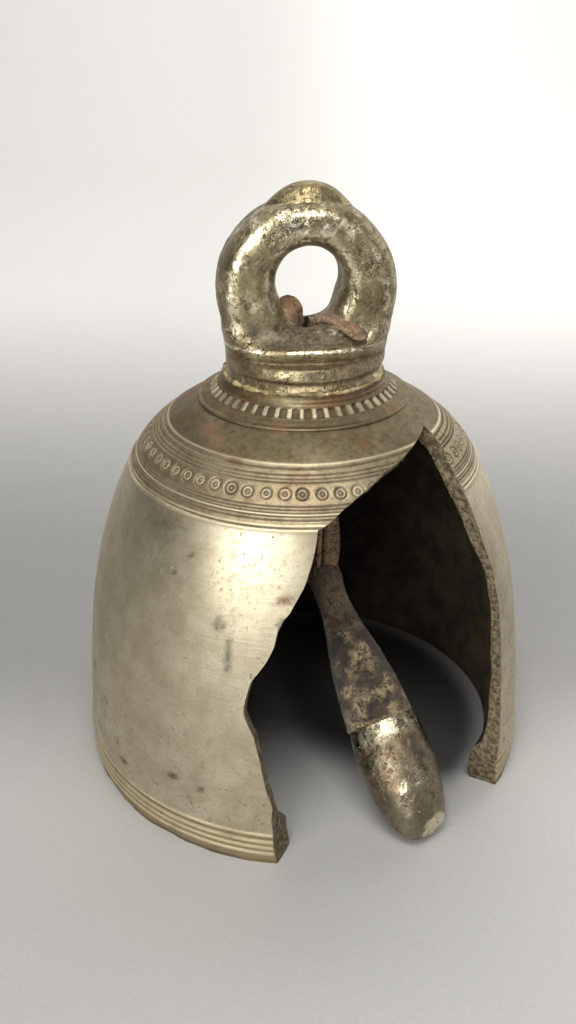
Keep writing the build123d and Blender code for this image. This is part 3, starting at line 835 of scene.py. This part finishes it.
def build_tail(name):
    """One of the thong's two ends, which turns from standing in the hole to lying down."""
    points, count, widths, thicks, lying, turns, seed = TAILS[name]
    skin = Skin("edge", "crust", "turn")
    t = np.linspace(0, 1, count)
    turned = smooth(*turns, t)[:, None]
    facing = SIDEWAYS * (1 - turned) + np.array(lying) * turned
    width, thick = (np.interp(t, *np.array(pairs).T) for pairs in (widths, thicks))
    leather_strip(skin, flow(points, count), facing, width, thick, seed, 0.3)
    return skin.mesh(name, weld=True)


# ---- materials

class Paint:
    """A material's nodes, with short calls for the ones used here."""

    def __init__(self, name):
        self.material = bpy.data.materials.new(name)
        self.material.use_nodes = True
        self.tree = self.material.node_tree
        self.shader = self.tree.nodes["Principled BSDF"]
        self.position = self.node("TexCoord", {}, "Object")
        self.base = None

    def link(self, value, socket):
        if isinstance(value, bpy.types.NodeSocket):
            self.tree.links.new(value, socket)
        else:
            socket.default_value = value

    def node(self, kind, inputs, output=0, **settings):
        """An output of a new node. The inputs are given by name or by number."""
        node = self.tree.nodes.new("ShaderNode" + kind)
        for name, value in settings.items():
            setattr(node, name, value)
        for key, value in inputs.items():
            self.link(value, node.inputs[key])
        return node.outputs[output]

    def finish(self, rise=None, reach=0.0, **values):
        """Sets the shader's inputs. A rise from 0 to 1 stands for reach metres of relief."""
        if rise is not None:
            values["Normal"] = self.node("Bump", {"Distance": reach, "Height": rise})
        for name, value in values.items():
            self.link(value, self.shader.inputs[name.replace("_", " ")])
        return self.material

    def mask(self, name):
        return self.node("Attribute", {}, "Fac", attribute_name=name)

    def math(self, operation, *values):
        """Works through the values from left to right."""
        return functools.reduce(
            lambda a, b: self.node("Math", {0: a, 1: b}, operation=operation), values)

    def times(self, *values):
        return self.math("MULTIPLY", *values)

    def plus(self, *values):
        return self.math("ADD", *values)

    def less(self, *values):
        return self.math("SUBTRACT", *values)

    def most(self, *values):
        return self.math("MAXIMUM", *values)

    def ramp(self, value, low, high, to_low=0.0, to_high=1.0):
        """A smooth step from to_low to to_high as value goes from low to high."""
        inputs = dict(enumerate((value, low, high, to_low, to_high)))
        return self.node("MapRange", inputs, interpolation_type="SMOOTHSTEP")

    def mix(self, share, a, b):
        a, b = ((*v, 1.0) if isinstance(v, tuple) else v for v in (a, b))
        return self.node("Mix", {0: share, 6: a, 7: b}, 2, data_type="RGBA")

    def coat(self, colour, *shares):
        """Lays a colour over the base, as far as the product of the shares says."""
        self.base = self.mix(self.times(*shares), self.base, colour)

    def stretched(self, x, y, z, turn=(0, 0, 0)):
        """Positions scaled on each axis, after a turn in degrees."""
        inputs = {"Rotation": [math.radians(a) for a in turn], "Scale": (1 / x, 1 / y, 1 / z),
                  "Vector": self.position}
        return self.node("Mapping", inputs, vector_type="TEXTURE")

    def noise(self, scale, detail=3.0, rough=0.55, where=None):
        """Noise from 0 to 1; scale is in features per metre."""
        inputs = {"Scale": scale, "Detail": detail, "Roughness": rough,
                  "Vector": where or self.position}
        return self.node("TexNoise", inputs, "Fac")

    def turned_noise(self, scale, detail, rough, *turn):
        return self.noise(scale, detail, rough, self.stretched(1, 1, 1, turn))

    def place(self):
        """Positions in metres, as x, y and z."""
        return [self.node("SeparateXYZ", {0: self.position}, k) for k in range(3)]


def scratches(m, scale, thin, turn):
    """Fine hairlines in one direction, 1 on a line."""
    off = m.math("ABSOLUTE", m.less(m.noise(scale, 1.0, 0.5, m.stretched(1, 9, 1, turn)), 0.5), 0)
    gate = m.ramp(m.noise(scale * 0.35, 2.0), 0.52, 0.64)
    return m.times(m.ramp(off, thin, 0.0), gate)


def shell_bronze():
    """Worn high-tin bronze: polished body, patina on the shoulder, very dark inside, stony break.
    """
    m = Paint("shell_bronze")
    z = m.times(m.place()[2], 1 / MM)
    dirt, wear, inside, broken = (m.mask(k) for k in ("dirt", "wear", "inside", "broken"))
    cloud, fine, grain = m.noise(130, 5.0, 0.62), m.noise(900, 4.0, 0.6), m.noise(3200, 2.0, 0.6)
    brush = m.noise(1.0, 3.0, 0.7, m.stretched(55, 55, 1500))
    brush_fine = m.noise(1.0, 2.0, 0.7, m.stretched(110, 110, 4200))
    mottle = m.ramp(m.turned_noise(560, 5.0, 0.72, 31, 17, 45), 0.47, 0.72)
    m.base = m.mix(m.ramp(cloud, 0.3, 0.7), (0.51, 0.44, 0.305), (0.65, 0.59, 0.445))
    m.coat((0.52, 0.44, 0.29), m.ramp(m.noise(38, 3.0, 0.5), 0.35, 0.7, 0.0, 0.14))
    m.coat((0.42, 0.36, 0.24), m.ramp(brush, 0.35, 0.75), 0.22)
    m.coat((0.33, 0.275, 0.18), mottle, 0.42)
    # speckles: few near the top, many near the lip
    down = m.ramp(z, 80, 6)
    spots = m.ramp(m.turned_noise(520, 4.0, 0.65, 23, 41, 12), m.less(0.66, m.times(down, 0.1)),
                   0.76)
    small = m.ramp(m.turned_noise(1300, 4.0, 0.68, 37, 19, 53), m.less(0.61, m.times(down, 0.07)),
                   0.74)
    speckle = m.most(spots, m.times(small, 0.8))
    m.coat((0.12, 0.088, 0.05), speckle, 0.9)
    # shoulder patina, olive and brown
    shoulder = m.times(m.ramp(z, 80.8, 83), m.ramp(cloud, 0.15, 0.75, 0.45, 1.0))
    crown = m.ramp(z, 92.6, 94.2)
    m.coat((0.27, 0.205, 0.11), shoulder, 0.85)
    m.coat((0.165, 0.135, 0.075), crown, m.ramp(cloud, 0.3, 0.65, 0.55, 0.92))
    m.coat((0.21, 0.10, 0.05), m.most(crown, m.times(shoulder, 0.6)),
           m.ramp(m.noise(95, 4.0, 0.6), 0.54, 0.66), 0.6)
    m.coat((0.085, 0.06, 0.032), m.most(shoulder, crown),
           m.ramp(m.noise(700, 5.0, 0.7), 0.47, 0.62, 0.0, 0.42))
    # the gold lip, worn ridges, brown foot, stains and grime
    m.coat((0.55, 0.41, 0.20), m.ramp(z, 9.6, 8.6), 0.55)
    m.coat((0.83, 0.74, 0.52), wear, 0.75)
    m.coat((0.17, 0.125, 0.07), m.ramp(z, 2.6, 0.4), m.ramp(cloud, 0.3, 0.6, 0.5, 0.9))
    m.coat((0.15, 0.165, 0.11), m.mask("green"), m.ramp(fine, 0.3, 0.6, 0.5, 0.92))
    m.coat((0.19, 0.095, 0.05), m.mask("rust"), m.ramp(fine, 0.25, 0.6, 0.4, 0.9))
    m.coat((0.12, 0.09, 0.055), m.mask("dark"), m.ramp(fine, 0.35, 0.6, 0.3, 0.85))
    grime = m.times(dirt, m.ramp(cloud, 0.2, 0.7, 0.75, 1.0))
    m.coat((0.045, 0.03, 0.016), grime, 0.9)
    m.coat(m.mix(m.ramp(fine, 0.35, 0.65), (0.14, 0.11, 0.068), (0.36, 0.31, 0.205)), broken)
    m.coat(m.mix(m.ramp(cloud, 0.3, 0.7), (0.035, 0.026, 0.017), (0.09, 0.068, 0.042)), inside)
    rough = m.plus(m.ramp(cloud, 0.25, 0.75, 0.355, 0.40), m.times(brush, 0.1),
                   m.times(mottle, 0.1), m.times(speckle, 0.25), m.times(grime, 0.35),
                   m.times(m.most(shoulder, crown), 0.12), m.times(m.most(broken, inside), 0.3))
    dull = m.most(grime, m.times(m.most(speckle, m.mask("rust")), 0.6))
    metal = m.times(m.less(1.0, m.times(dull, 0.85)), m.ramp(inside, 0.0, 1.0, 1.0, 0.35))
    lines = m.most(scratches(m, 110, 0.012, (0, 35, 20)), scratches(m, 90, 0.01, (15, -25, 80)))
    rise = m.plus(m.times(fine, 0.16), m.times(brush, 0.28), m.times(brush_fine, 0.16))
    rise = m.less(rise, m.times(speckle, 0.4), m.times(lines, 0.14))
    rise = m.plus(rise, m.times(grain, broken, 1.4), m.times(fine, broken, 2.2))
    return m.finish(rise, 0.00012, Base_Color=m.base, Roughness=rough, Metallic=metal)


def cast_bronze(name, bright, dull, worn, pit_scale=420, cover=0.5, cracked=1.0):
    """Old cast bronze: mottled, pitted, dark in its hollows and bright on its ridges."""
    m = Paint(name)
    cloud, fine, grain = m.noise(150, 5.0, 0.62), m.noise(1000, 4.0, 0.62), m.noise(3600, 2.0, 0.6)
    pits = m.ramp(m.noise(pit_scale, 4.0, 0.62), 0.56, 0.68)
    small = m.ramp(m.noise(pit_scale * 3, 3.0, 0.6), 0.6, 0.74)
    dirt, wear, rust = (m.mask(k) for k in ("dirt", "wear", "rust"))
    bare = m.ramp(m.plus(m.noise(900, 4.0, 0.66), m.times(wear, 0.09)), 0.48, 0.57, 0.04, 1.0)
    m.base = m.mix(m.ramp(cloud, 0.5 - cover * 0.3, 0.5 + cover * 0.35), bright, dull)
    m.coat((0.10, 0.075, 0.04), pits, 0.6)
    m.coat((0.13, 0.10, 0.06), small, 0.5)
    m.coat((0.17, 0.085, 0.035), rust, m.ramp(fine, 0.3, 0.65, 0.3, 0.8))
    m.coat((0.05, 0.036, 0.02), dirt, m.ramp(fine, 0.25, 0.7, 0.6, 0.95))
    # the worn colour also paints the highlight that the loop's wear mask holds on its top crossbar
    m.coat(worn, wear, bare)
    crackle = m.times(
        m.ramp(m.math("ABSOLUTE", m.less(m.noise(760, 3.0, 0.6), 0.5), 0), 0.035, 0.008),
        m.ramp(m.noise(190, 2.0), 0.44, 0.6, 0.0, cracked), m.ramp(wear, 0.3, 0.95, 1.0, 0.25))
    m.coat((0.06, 0.042, 0.02), crackle, 0.85)
    rough = m.plus(m.ramp(cloud, 0.25, 0.75, 0.22, 0.38), m.times(m.most(dirt, pits), 0.28))
    metal = m.less(1.0, m.times(m.most(dirt, m.times(m.most(rust, pits), 0.6)), 0.8))
    rise = m.plus(m.times(fine, 0.5), m.times(grain, 0.22))
    rise = m.less(rise, m.times(pits, 0.55), m.times(small, 0.3), m.times(crackle, 0.5))
    return m.finish(m.times(rise, m.ramp(wear, 0.4, 1.0, 1.0, 0.4)), 0.00028, Base_Color=m.base,
                    Roughness=m.less(rough, m.times(wear, 0.06)), Metallic=metal)


def crust_bronze():
    """Rough yellow braze."""
    m = Paint("braze")
    cloud, fine = m.noise(320, 4.0, 0.6), m.noise(1600, 3.0, 0.6)
    m.base = m.mix(m.ramp(cloud, 0.35, 0.65), (0.56, 0.45, 0.22), (0.20, 0.15, 0.075))
    m.coat((0.10, 0.065, 0.03), m.mask("dirt"), 0.6)
    m.coat((0.66, 0.56, 0.33), m.mask("wear"), 0.5)
    return m.finish(m.plus(fine, cloud), 0.0002, Base_Color=m.base,
                    Roughness=m.ramp(fine, 0.2, 0.8, 0.5, 0.85), Metallic=0.55)


def leather(name, dark, tan, pale):
    """Old greasy leather with a fuzzy, crusted surface and pale frayed edges."""
    m = Paint(name)
    cloud, fibre = m.noise(260, 5.0, 0.65), m.noise(1500, 5.0, 0.7)
    hair = m.noise(2600, 3.0, 0.6, m.stretched(1, 1, 0.35, (0, 45, 0)))
    m.base = m.mix(m.ramp(cloud, 0.4, 0.7), dark, tan)
    fuzz = m.plus(fibre, m.times(m.noise(600, 4.0, 0.65), 0.8))
    m.coat(pale, m.mask("crust"), m.ramp(fuzz, 0.76, 0.98))
    m.coat(pale, m.mask("edge"), m.ramp(fibre, 0.42, 0.62, 0.15, 0.9))
    m.coat((0.32, 0.225, 0.14), m.mask("turn"), m.ramp(fibre, 0.4, 0.6, 0.35, 0.85))
    m.coat((0.012, 0.008, 0.005), m.ramp(m.noise(620, 4.0, 0.6), 0.54, 0.66, 0.0, 0.8))
    rise = m.plus(m.times(fibre, 0.8), m.times(hair, 0.6), m.times(cloud, 0.5))
    return m.finish(rise, 0.0005, Base_Color=m.base, Roughness=m.ramp(cloud, 0.3, 0.7, 0.62, 0.88),
                    Sheen_Weight=0.15, Sheen_Roughness=0.6, Specular_IOR_Level=0.35)


def dress(obj, material, body, slot, *nodes):
    """Gives a piece its material and body and hides the CAD nodes that it stands for; the slot is
    not used.

    A body is a name. Given as two names and two points, it is not used, and the piece's place is
    only baked into its mesh."""
    obj.data.materials.append(material)
    if isinstance(body, str):
        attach(obj, body)
    else:
        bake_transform(obj)
    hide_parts(*nodes)


# ---- the pieces

OLIVE = (0.22, 0.175, 0.09)
# the loop's pale worn colour is real wear and also the painted highlight on the loop's top crossbar
loop_bronze = cast_bronze("loop_bronze", (0.50, 0.43, 0.265), OLIVE, (0.96, 0.89, 0.67), 520, 0.6)
cap_bronze = cast_bronze("cap_bronze", (0.33, 0.275, 0.145), OLIVE, (0.64, 0.56, 0.35), 620)
clapper_bronze = cast_bronze("clapper_bronze", (0.33, 0.29, 0.2), (0.13, 0.105, 0.066),
                             (0.74, 0.67, 0.47), 330, 0.7, 0.35)
thong_leather = leather("thong_leather", (0.11, 0.058, 0.028), (0.34, 0.185, 0.085),
                        (0.52, 0.36, 0.21))
sleeve_leather = leather("sleeve_leather", (0.02, 0.013, 0.008), (0.078, 0.052, 0.029),
                         (0.38, 0.285, 0.155))

dress(build_shell(), shell_bronze(), "bell", "shell_bronze", "bell_shell")
dress(build_loop(), loop_bronze, "bell", "loop_bronze", "crown_loop")
dress(build_cap(), cap_bronze, "bell", "cap_bronze", "loop_cap")
dress(build_braze(), crust_bronze(), "bell", "braze", "braze_seam")
for tail in TAILS:
    dress(build_tail(tail), thong_leather, "bell", "thong_leather", tail[:-len("_leather")])
dress(build_neck(), thong_leather, ("bell", "neck", (0, 0, 98.2), (0, 0, 94.2)),
      "thong_leather", "thong_neck")
dress(build_strap(), thong_leather, ("neck", "strap", (0, 0, 90), (0, 0, 87)),
      "thong_leather", "thong_strap")
dress(build_clapper(), clapper_bronze, "clapper", "clapper_bronze", "clapper")
dress(build_sleeve(), sleeve_leather, "clapper", "sleeve_leather", "clapper_sleeve")


# ---- floor, light and camera

SHEET_LENGTH, SHEET_HALF_WIDTH = 1.0, 2600  # metres behind the bell, millimetres
SWEEP_R = 0.6  # metres


def build_floor():
    """A pale sheet that runs back under the bell and sweeps up behind it."""
    line = [(y, 0) for y in (-1.6, -1.0, -0.5, 0, 0.6, SHEET_LENGTH)]
    line += [(SHEET_LENGTH + SWEEP_R * math.sin(a), SWEEP_R - SWEEP_R * math.cos(a))
             for a in np.radians(np.linspace(8, 84, 12))]
    line += [(1.62, 0.8), (1.62, 2.2)]
    skin = Skin()
    for y, z in line:
        across = np.linspace(-SHEET_HALF_WIDTH, SHEET_HALF_WIDTH, 21)
        skin.run_on(skin.add([[x, y / MM, z / MM] for x in across]))
    floor = skin.mesh("pale_floor")
    m = Paint("pale_floor")
    x, y, _ = m.place()
    # painted shade: darker beside the bell than behind it, and dark under it, where the bell's own
    # shadow falls; painted light: brighter far behind the bell and towards the right
    reach = m.math("POWER", m.plus(m.times(x, x), m.times(y, y)), 0.5)
    under = m.times(m.ramp(reach, 0.056, 0.044),
                    m.ramp(m.plus(y, m.times(x, 0.45)), -0.028, -0.004),
                    m.ramp(x, -0.03, 0.02, 0.3, 1.0))
    # painted light and shade laid into the floor's colour, with a fine grain
    painted_light_and_shade = m.times(m.ramp(y, -0.05, 0.03, 0.43, 0.25), m.ramp(y, 0.05, 0.50, 1.0, 3.25),
                   m.ramp(x, -0.10, 0.14, 0.92, 1.14), m.ramp(under, 0.0, 1.0, 1.0, 0.13),
                   m.ramp(m.noise(900, 3.0), 0.3, 0.7, 0.97, 1.03))
    floor.data.materials.append(m.finish(
        Base_Color=m.mix(painted_light_and_shade, (0, 0, 0), (1, 0.985, 0.96)),
        Roughness=m.ramp(m.noise(60), 0.2, 0.8, 0.5, 0.62)))


def area_light(name, spot_at, aim, width, height, power, tint):
    light = bpy.data.lights.new(name, "AREA")
    light.shape, light.size, light.size_y = "RECTANGLE", width, height
    light.energy, light.color = power, tint
    obj = bpy.data.objects.new(name, light)
    obj.location = spot_at
    obj.rotation_euler = (Vector(aim) - Vector(spot_at)).to_track_quat("-Z", "Y").to_euler()
    bpy.context.scene.collection.objects.link(obj)


# The camera, as fitted to the bell's rim, bands and loop: metres, and degrees of turn.
CAMERA_AT = (0, -0.23592, 0.18348)
CAMERA_PITCH, CAMERA_TURN, CAMERA_ROLL = 26.72, -0.98, -0.38
SENSOR_WIDTH, LENS_PER_SENSOR = 36.0, 1000 / 1024
# Lights: name, place, aim, width, height, power, tint.
NEAR_WHITE = (1.0, 0.99, 0.97)
LIGHTS = [("key", (-0.58, -1.05, 0.55), (0, 0, 0.05), 0.75, 0.75, 11.5, (1.0, 0.985, 0.95)),
          ("top", (0.0, -0.48, 1.1), (0, 0, 0.05), 0.6, 0.42, 8.5, NEAR_WHITE),
          ("fill_right", (0.95, 0.65, 0.5), (0, 0, 0.05), 0.8, 0.8, 3.5, NEAR_WHITE),
          ("fill_front", (0.8, -0.75, 0.55), (0, 0, 0.06), 0.45, 0.5, 1.4, NEAR_WHITE),
          ("back", (0.0, 0.9, 1.3), (0, 1.2, 0.2), 1.6, 0.8, 13, NEAR_WHITE)]


def build_camera():
    pitch, turn, roll = (math.radians(a) for a in (CAMERA_PITCH, CAMERA_TURN, CAMERA_ROLL))
    forward = Vector((math.sin(turn) * math.cos(pitch), math.cos(turn) * math.cos(pitch),
                      -math.sin(pitch)))
    right = Vector((math.cos(turn), -math.sin(turn), 0))
    up = right.cross(forward)
    x = math.cos(roll) * right + math.sin(roll) * up
    y = -math.sin(roll) * right + math.cos(roll) * up
    camera = bpy.data.cameras.new("camera")
    camera.sensor_width, camera.lens = SENSOR_WIDTH, SENSOR_WIDTH * LENS_PER_SENSOR
    camera.clip_start = 0.01
    obj = bpy.data.objects.new("camera", camera)
    axes = Matrix((x, y, -forward)).transposed().to_4x4()
    obj.matrix_world = Matrix.Translation(CAMERA_AT) @ axes
    bpy.context.scene.collection.objects.link(obj)
    bpy.context.scene.camera = obj


build_floor()
build_camera()
for light in LIGHTS:
    area_light(*light)
scene = bpy.context.scene
scene.view_settings.view_transform = "Standard"
scene.world = bpy.data.worlds.new("studio")
scene.world.use_nodes = True
background = scene.world.node_tree.nodes["Background"]
background.inputs["Color"].default_value = (1.0, 0.99, 0.96, 1)
background.inputs["Strength"].default_value = 0.08
